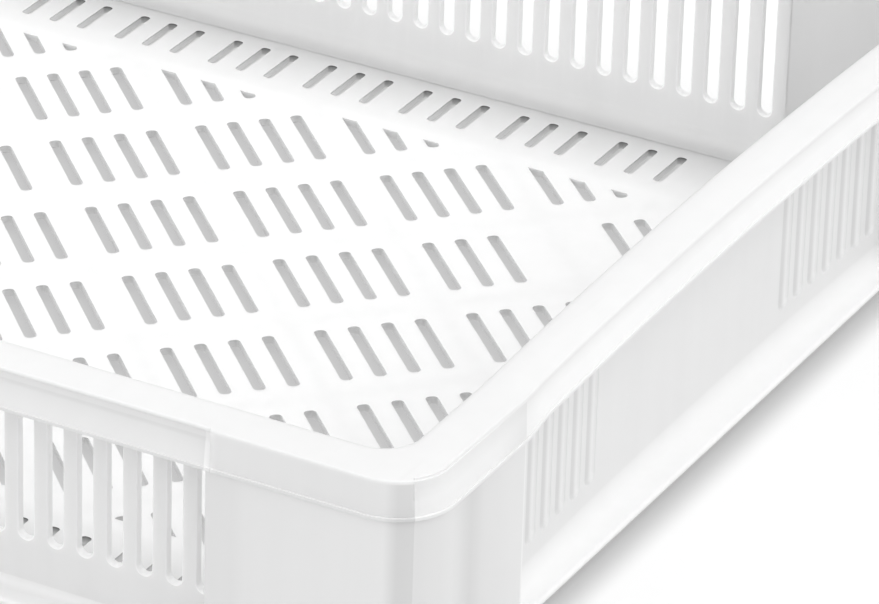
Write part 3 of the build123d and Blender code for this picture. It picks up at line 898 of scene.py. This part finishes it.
def make_floor(material):
    """The floor plate: flat above and below, with every slot a loop carried down through the plate.

    A slot's loop starts a little larger at the top and shrinks over a quarter-round edge. Its tones are
    painted shade, going from grey near the top to those of its underside, and deeper at the slot's far end,
    towards the rear.
    """
    lattice, border = slot_places()
    lattice = lattice[slot_outlines(lattice, border, 0)[2] > smallest_cut]
    edge_turn = np.radians([0, 30, 60, 90])
    grow = floor_slot_ease * np.concatenate([1 - np.sin(edge_turn), [0, 0, 0]])
    sink = floor_slot_ease * (1 - np.cos(edge_turn))
    loops = [np.concatenate(slot_outlines(lattice, border, margin)[:2]) for margin in grow]
    loops = np.stack(loops, axis=1)
    slots, both = len(loops), [len(lattice), len(border)]
    shade = np.repeat([floor_slot_shade, border_slot_shade], both)[:, None]
    low_edge = np.tile([floor_bottom + slot_foot, floor_bottom], (slots, 1))
    rise = np.concatenate([np.tile(floor_top - sink, (slots, 1)), floor_top - shade, low_edge], axis=1)
    middle = np.concatenate([lattice, border])[:, None, None, :]
    ahead = np.repeat([(1, -1), (0, -np.sqrt(2))], both, axis=0)[:, None, None, :]
    ahead = np.sum((loops - middle) * ahead, axis=-1) / np.sqrt(2)
    half_slot = np.repeat([floor_slot_length, border_slot_length], both)[:, None, None] / 2
    # Painted shade down each slot's walls, with more at its far end, towards the rear
    far_end = np.clip((-ahead - half_slot + slot_end_reach) / slot_end_fade, 0, 1)
    side_tone = np.repeat([lattice_slot_painted_shade, border_slot_painted_shade], both, axis=0)[..., None]
    end_tone = np.repeat([lattice_far_end_painted_shade, border_far_end_painted_shade], both, axis=0)[..., None]
    slot_tone = (side_tone + far_end * end_tone).ravel()

    corner = plate_corner_radius * directions(np.linspace(0, 90, 6))
    corner += np.array([floor_x, floor_y]) + plate_overlap - plate_corner_radius
    outline = np.concatenate([corner, corner[::-1] * (-1, 1), -corner, corner[::-1] * (1, -1)])
    points, faces = holed_plate(loops, rise, outline)
    tone = np.append(slot_tone, np.zeros(2 * len(outline)))
    make_piece("floor_plate", points, faces, ["floor_panel"], material, tone)


def make_ribs(material):
    """The rib lattice under the floor: a plate with a square hole in each cell, inside a frame.

    Across a hole with its middle at (a, b), at x, the hole reaches from b - (h - |x - a|) to
    b + (h - |x - a|), h being half its diagonal, and no further than the frame.
    """
    cells = lattice_cells()[0] + lattice_shift
    half = (cell_pitch - rib_width) / np.sqrt(2)
    frame_x, frame_y = lattice_x + rib_setback, lattice_y + rib_setback
    reach = half - np.maximum(np.abs(cells[:, 1]) - frame_y, 0)
    first = np.maximum(cells[:, 0] - reach, -frame_x)
    last = np.minimum(cells[:, 0] + reach, frame_x)
    large = (reach > rib_width) & (last - first > rib_width)
    cells, first, last = cells[large], first[large][:, None], last[large][:, None]
    middle_x, middle_y = cells[:, 0:1], cells[:, 1:2]
    over, under = half - frame_y + middle_y, half - frame_y - middle_y
    turns = [first, middle_x - over, middle_x - under, middle_x, middle_x + under, middle_x + over, last]
    x = np.sort(np.clip(np.concatenate(turns, axis=1), first, last), axis=1)
    rest = half - np.abs(x - middle_x)
    high, low = np.minimum(middle_y + rest, frame_y), np.maximum(middle_y - rest, -frame_y)
    there_and_back = np.concatenate([x, x[:, ::-1]], axis=1), np.concatenate([high, low[:, ::-1]], axis=1)
    loops = np.repeat(np.stack(there_and_back, axis=-1)[:, None], 2, axis=1)
    rise = np.tile([floor_bottom, 0], (len(cells), 1))
    corner = np.array([frame_x, frame_y]) + rib_width
    outline = corner * np.array([(1, 1), (-1, 1), (-1, -1), (1, -1)])
    points, faces = holed_plate(loops, rise, outline)
    make_piece("rib_lattice", points, faces, ["floor_ribs"], material)


def put(tree, kind, inputs=None, **settings):
    """A new node in a tree, with its settings and its inputs: values, or outputs of other nodes to link."""
    node = tree.nodes.new(f"ShaderNode{kind}")
    for name, value in settings.items():
        setattr(node, name, value)
    for name, value in (inputs or {}).items():
        if isinstance(value, bpy.types.NodeSocket):
            tree.links.new(value, node.inputs[name])
        else:
            node.inputs[name].default_value = value
    return node


def math_node(tree, operation, *values):
    """Output of one step of arithmetic on numbers, each a value or another node's output."""
    return put(tree, "Math", dict(enumerate(values)), operation=operation).outputs["Value"]


def vector_node(tree, operation, *values):
    """Output of one step of arithmetic on vectors, each a value or another node's output."""
    return put(tree, "VectorMath", dict(enumerate(values)), operation=operation).outputs["Vector"]


def noise(tree, place, scale, detail):
    """Output of a cloudy pattern, about 0.5 on the whole, at a place."""
    return put(tree, "TexNoise", {"Vector": place, "Scale": scale, "Detail": detail}).outputs["Fac"]


def between(tree, value, start, end):
    """Output that rises from 0 to 1 while a value goes from start to end."""
    return put(tree, "MapRange", {"Value": value, "From Min": start, "From Max": end}).outputs["Result"]


def new_group(name, inputs, outputs):
    """An empty group of shader nodes with named number inputs and outputs, and its two end nodes."""
    group = bpy.data.node_groups.new(name, "ShaderNodeTree")
    for label in inputs:
        group.interface.new_socket(label, in_out="INPUT", socket_type="NodeSocketFloat")
    for label, kind in outputs.items():
        group.interface.new_socket(label, in_out="OUTPUT", socket_type=f"NodeSocket{kind}")
    return group, group.nodes.new("NodeGroupInput").outputs, group.nodes.new("NodeGroupOutput").inputs


def make_mould_grain():
    """Surface the mould leaves: fine grain and slow waves for the bump, and a roughness that drifts."""
    outputs = {"Height": "Float", "Roughness": "Float"}
    group, given, result = new_group("mould_grain", ["Grain", "Satin"], outputs)
    place = put(group, "TexCoord").outputs["Object"]
    grain = noise(group, place, given["Grain"], 3.0)
    waves = noise(group, place, 22.0, 2.0)
    group.links.new(math_node(group, "MULTIPLY_ADD", waves, 6.0, grain), result["Height"])
    drift = math_node(group, "SUBTRACT", noise(group, place, 55.0, 4.0), 0.5)
    group.links.new(math_node(group, "MULTIPLY_ADD", drift, 0.22, given["Satin"]), result["Roughness"])
    return group


def make_milky_and_painted_tone():
    """Milky colour: white plus the piece's tone, which holds painted shade and painted light as well as thin
    and thick plastic, with faint clouds and upright flow streaks.
    """
    group, given, result = new_group("milky_and_painted_tone", ["White", "Reach"], {"Color": "Color"})
    place = put(group, "TexCoord").outputs["Object"]
    tone = put(group, "Attribute", attribute_name="tone").outputs["Fac"]
    toned = math_node(group, "MULTIPLY_ADD", tone, given["Reach"], given["White"])
    clouds = noise(group, place, 16.0, 3.0)
    long_grain = put(group, "Mapping", {"Vector": place, "Scale": (1.0, 1.0, 0.06)}).outputs["Vector"]
    streaks = noise(group, long_grain, 130.0, 2.0)
    centred = math_node(group, "SUBTRACT", math_node(group, "ADD", clouds, streaks), 1.0)
    value = math_node(group, "MULTIPLY_ADD", centred, 0.035, toned)
    color = put(group, "CombineColor", {"Red": value, "Green": value, "Blue": value})
    group.links.new(color.outputs["Color"], result["Color"])
    return group


def make_stacking_scuffs():
    """Scuffs from stacking: short scratches kept to the rim's top and to the underside of the base."""
    group, given, result = new_group("stacking_scuffs", ["Amount"], {"Mask": "Float"})
    place = put(group, "TexCoord").outputs["Object"]
    up = put(group, "SeparateXYZ", {"Vector": place}).outputs["Z"]
    rim = between(group, up, (height - 0.5) * MM, height * MM)
    base = between(group, up, floor_bottom * MM, 0.2 * MM)
    worn = math_node(group, "MAXIMUM", rim, base)
    turned = put(group, "Mapping", {"Vector": place, "Rotation": (0, 0, 0.6), "Scale": (1.0, 0.09, 1.0)})
    scratches = between(group, noise(group, turned.outputs["Vector"], 420.0, 4.0), 0.6, 0.72)
    areas = between(group, noise(group, place, 9.0, 2.0), 0.45, 0.65)
    kept = math_node(group, "MULTIPLY", math_node(group, "MULTIPLY", scratches, areas), worn)
    group.links.new(math_node(group, "MULTIPLY", kept, given["Amount"]), result["Mask"])
    return group


def make_crease_shade():
    """Shade of the floor towards its walls: a factor that rises to one with the distance from a wall."""
    group, given, result = new_group("crease_shade", ["Shade", "Reach"], {"Factor": "Float"})
    from_middle = vector_node(group, "ABSOLUTE", put(group, "TexCoord").outputs["Object"])
    to_wall = vector_node(group, "SUBTRACT", (floor_x * MM, floor_y * MM, 1.0), from_middle)
    along = put(group, "SeparateXYZ", {"Vector": to_wall}).outputs
    nearest = math_node(group, "MINIMUM", along["X"], along["Y"])
    factor = put(group, "MapRange", {"Value": nearest, "From Max": given["Reach"], "To Min": given["Shade"]})
    group.links.new(factor.outputs["Result"], result["Factor"])
    return group


def moulded_plastic(name, white, glow_depth=0, shade=1.0):
    """Natural white polyethylene: satin, milky, lightly scuffed, with the painted shade and painted light of
    its tone, and shaded towards the floor's edge.

    With a glow depth, light spreads that far in it. Without one, part of the light passes through.
    """
    material = bpy.data.materials.new(name)
    material.use_nodes = True
    tree = material.node_tree
    surface = tree.nodes["Principled BSDF"]
    grain = put(tree, "Group", node_tree=mould_grain, inputs={"Grain": grain_scale, "Satin": satin_roughness})
    milky = put(tree, "Group", node_tree=milky_and_painted_tone, inputs={"White": white, "Reach": tone_reach})
    scuffs = put(tree, "Group", node_tree=stacking_scuffs, inputs={"Amount": scuff_amount}).outputs["Mask"]
    crease = put(tree, "Group", node_tree=crease_shade, inputs={"Shade": shade, "Reach": crease_reach * MM})
    shaded = {0: milky.outputs["Color"], "Scale": crease.outputs["Factor"]}
    shaded = put(tree, "VectorMath", shaded, operation="SCALE").outputs["Vector"]
    worn = put(tree, "Mix", {"Factor": scuffs, "A": shaded, "B": scuff_color}, data_type="RGBA")
    rough = math_node(tree, "MULTIPLY_ADD", scuffs, scuff_roughness, grain.outputs["Roughness"])
    bump = {"Height": grain.outputs["Height"], "Strength": bump_strength, "Distance": bump_depth * MM}
    tree.links.new(worn.outputs["Result"], surface.inputs["Base Color"])
    tree.links.new(rough, surface.inputs["Roughness"])
    tree.links.new(put(tree, "Bump", bump).outputs["Normal"], surface.inputs["Normal"])
    if glow_depth:
        surface.inputs["Subsurface Weight"].default_value = 1
        surface.inputs["Subsurface Radius"].default_value = (1, 1, 1)
        surface.inputs["Subsurface Scale"].default_value = glow_depth * MM
        return material
    passing = put(tree, "BsdfTranslucent", {"Color": passing_color}).outputs["BSDF"]
    blend = put(tree, "MixShader", {"Fac": passing_share, 1: surface.outputs["BSDF"], 2: passing})
    tree.links.new(blend.outputs["Shader"], tree.nodes["Material Output"].inputs["Surface"])
    return material


def make_ground():
    """A wide pale ground with a painted glow, shining softly under the tray, and a painted shadow, darker
    close beside it.

    Its colour and shine go by the distance from the tray's base: smooth steps from the value under the
    tray to the one beside the ledge, and on to the one in the open.
    """
    mesh = bpy.data.meshes.new("ground")
    corners = ground_half_size * np.array([(-1, -1, 0), (1, -1, 0), (1, 1, 0), (-1, 1, 0)])
    mesh.from_pydata(corners, [], [(0, 1, 2, 3)])
    ground = bpy.data.objects.new("ground", mesh)
    bpy.context.scene.collection.objects.link(ground)
    material = bpy.data.materials.new("pale_ground")
    material.use_nodes = True
    tree = material.node_tree
    surface = tree.nodes["Principled BSDF"]
    surface.inputs["Roughness"].default_value = 0.9
    surface.inputs["Emission Color"].default_value = (1, 1, 1, 1)
    from_middle = vector_node(tree, "ABSOLUTE", put(tree, "TexCoord").outputs["Object"])
    base = ((ledge_x - ground_inset) * MM, (ledge_y - ground_inset) * MM, 0)
    outside = vector_node(tree, "MAXIMUM", vector_node(tree, "SUBTRACT", from_middle, base), (0, 0, 0))
    distance = put(tree, "VectorMath", {0: outside}, operation="LENGTH").outputs["Value"]

    def ramp(start, end, low, high):
        steps = {"From Min": start * MM, "From Max": end * MM, "To Min": low, "To Max": high}
        steps["Value"] = distance
        return put(tree, "MapRange", steps, interpolation_type="SMOOTHSTEP").outputs["Result"]

    def fade(under, beside, in_the_open):
        near = ramp(0, beside_ledge, under, beside)
        return math_node(tree, "ADD", near, ramp(beside_ledge, open_ground, 0, in_the_open - beside))

    path = put(tree, "LightPath").outputs
    mirrored = math_node(tree, "MAXIMUM", path["Is Glossy Ray"], path["Is Transmission Ray"])
    viewed = math_node(tree, "MAXIMUM", path["Is Camera Ray"], mirrored)
    # Painted glow under the tray, and a painted shadow beside the ledge, where less brightness is seen
    seen = math_node(tree, "MULTIPLY", viewed, fade(*ground_seen))
    shine = math_node(tree, "ADD", seen, fade(*ground_painted_glow))
    tree.links.new(fade(*ground_color_with_painted_shadow), surface.inputs["Base Color"])
    tree.links.new(shine, surface.inputs["Emission Strength"])
    mesh.materials.append(material)


def set_lights():
    """Three soft lamps, above, right and left, and even light all round."""
    for name, energy, spread, tilt in (
        ("softbox_above", 0.6, 40, (4, 12, 0)),
        ("softbox_right", 1.05, 50, (0, 46, 8)),
        ("softbox_left", 0.75, 50, (0, -55, 50)),
    ):
        light = bpy.data.lights.new(name, "SUN")
        light.energy = energy
        light.angle = radians(spread)
        lamp = bpy.data.objects.new(name, light)
        lamp.rotation_euler = [radians(angle) for angle in tilt]
        bpy.context.scene.collection.objects.link(lamp)

    world = bpy.data.worlds.new("studio")
    world.use_nodes = True
    background = world.node_tree.nodes["Background"]
    background.inputs["Color"].default_value = (1, 1, 1, 1)
    background.inputs["Strength"].default_value = 0.7
    bpy.context.scene.world = world


def set_camera():
    """A long lens above the right front corner, turned a little about its own axis."""
    azimuth, elevation, roll = radians(27.798), radians(27.739), radians(1.7755)
    aim, distance = Vector((0.17704, 0.03635, 0.006)), 2.03622
    away = Vector((sin(azimuth) * cos(elevation), -cos(azimuth) * cos(elevation), sin(elevation)))
    turn = Matrix.Rotation(azimuth, 4, "Z") @ Matrix.Rotation(radians(90) - elevation, 4, "X")
    lens = bpy.data.cameras.new("camera")
    lens.lens = 262.27
    lens.clip_end = 100
    camera = bpy.data.objects.new("camera", lens)
    camera.matrix_world = Matrix.Translation(aim + distance * away) @ turn @ Matrix.Rotation(roll, 4, "Z")
    bpy.context.scene.collection.objects.link(camera)
    bpy.context.scene.camera = camera


mould_grain = make_mould_grain()
milky_and_painted_tone = make_milky_and_painted_tone()
stacking_scuffs = make_stacking_scuffs()
crease_shade = make_crease_shade()
plastic = moulded_plastic("wall_plastic", 0.89)
floor_plastic = moulded_plastic("floor_plastic", 0.84, glow_depth=3, shade=0.71)
slotted_plastic = moulded_plastic("slotted_wall_plastic", 0.785, glow_depth=3)
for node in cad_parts.values():
    node.data.materials.clear()
    node.data.materials.append(plastic)
make_floor(floor_plastic)
make_ribs(plastic)
make_rim(plastic)
make_side_walls(slotted_plastic)
make_end_walls(plastic)
make_corner_posts(plastic)
make_ground()
set_lights()
set_camera()
bpy.context.scene.view_settings.view_transform = "Standard"
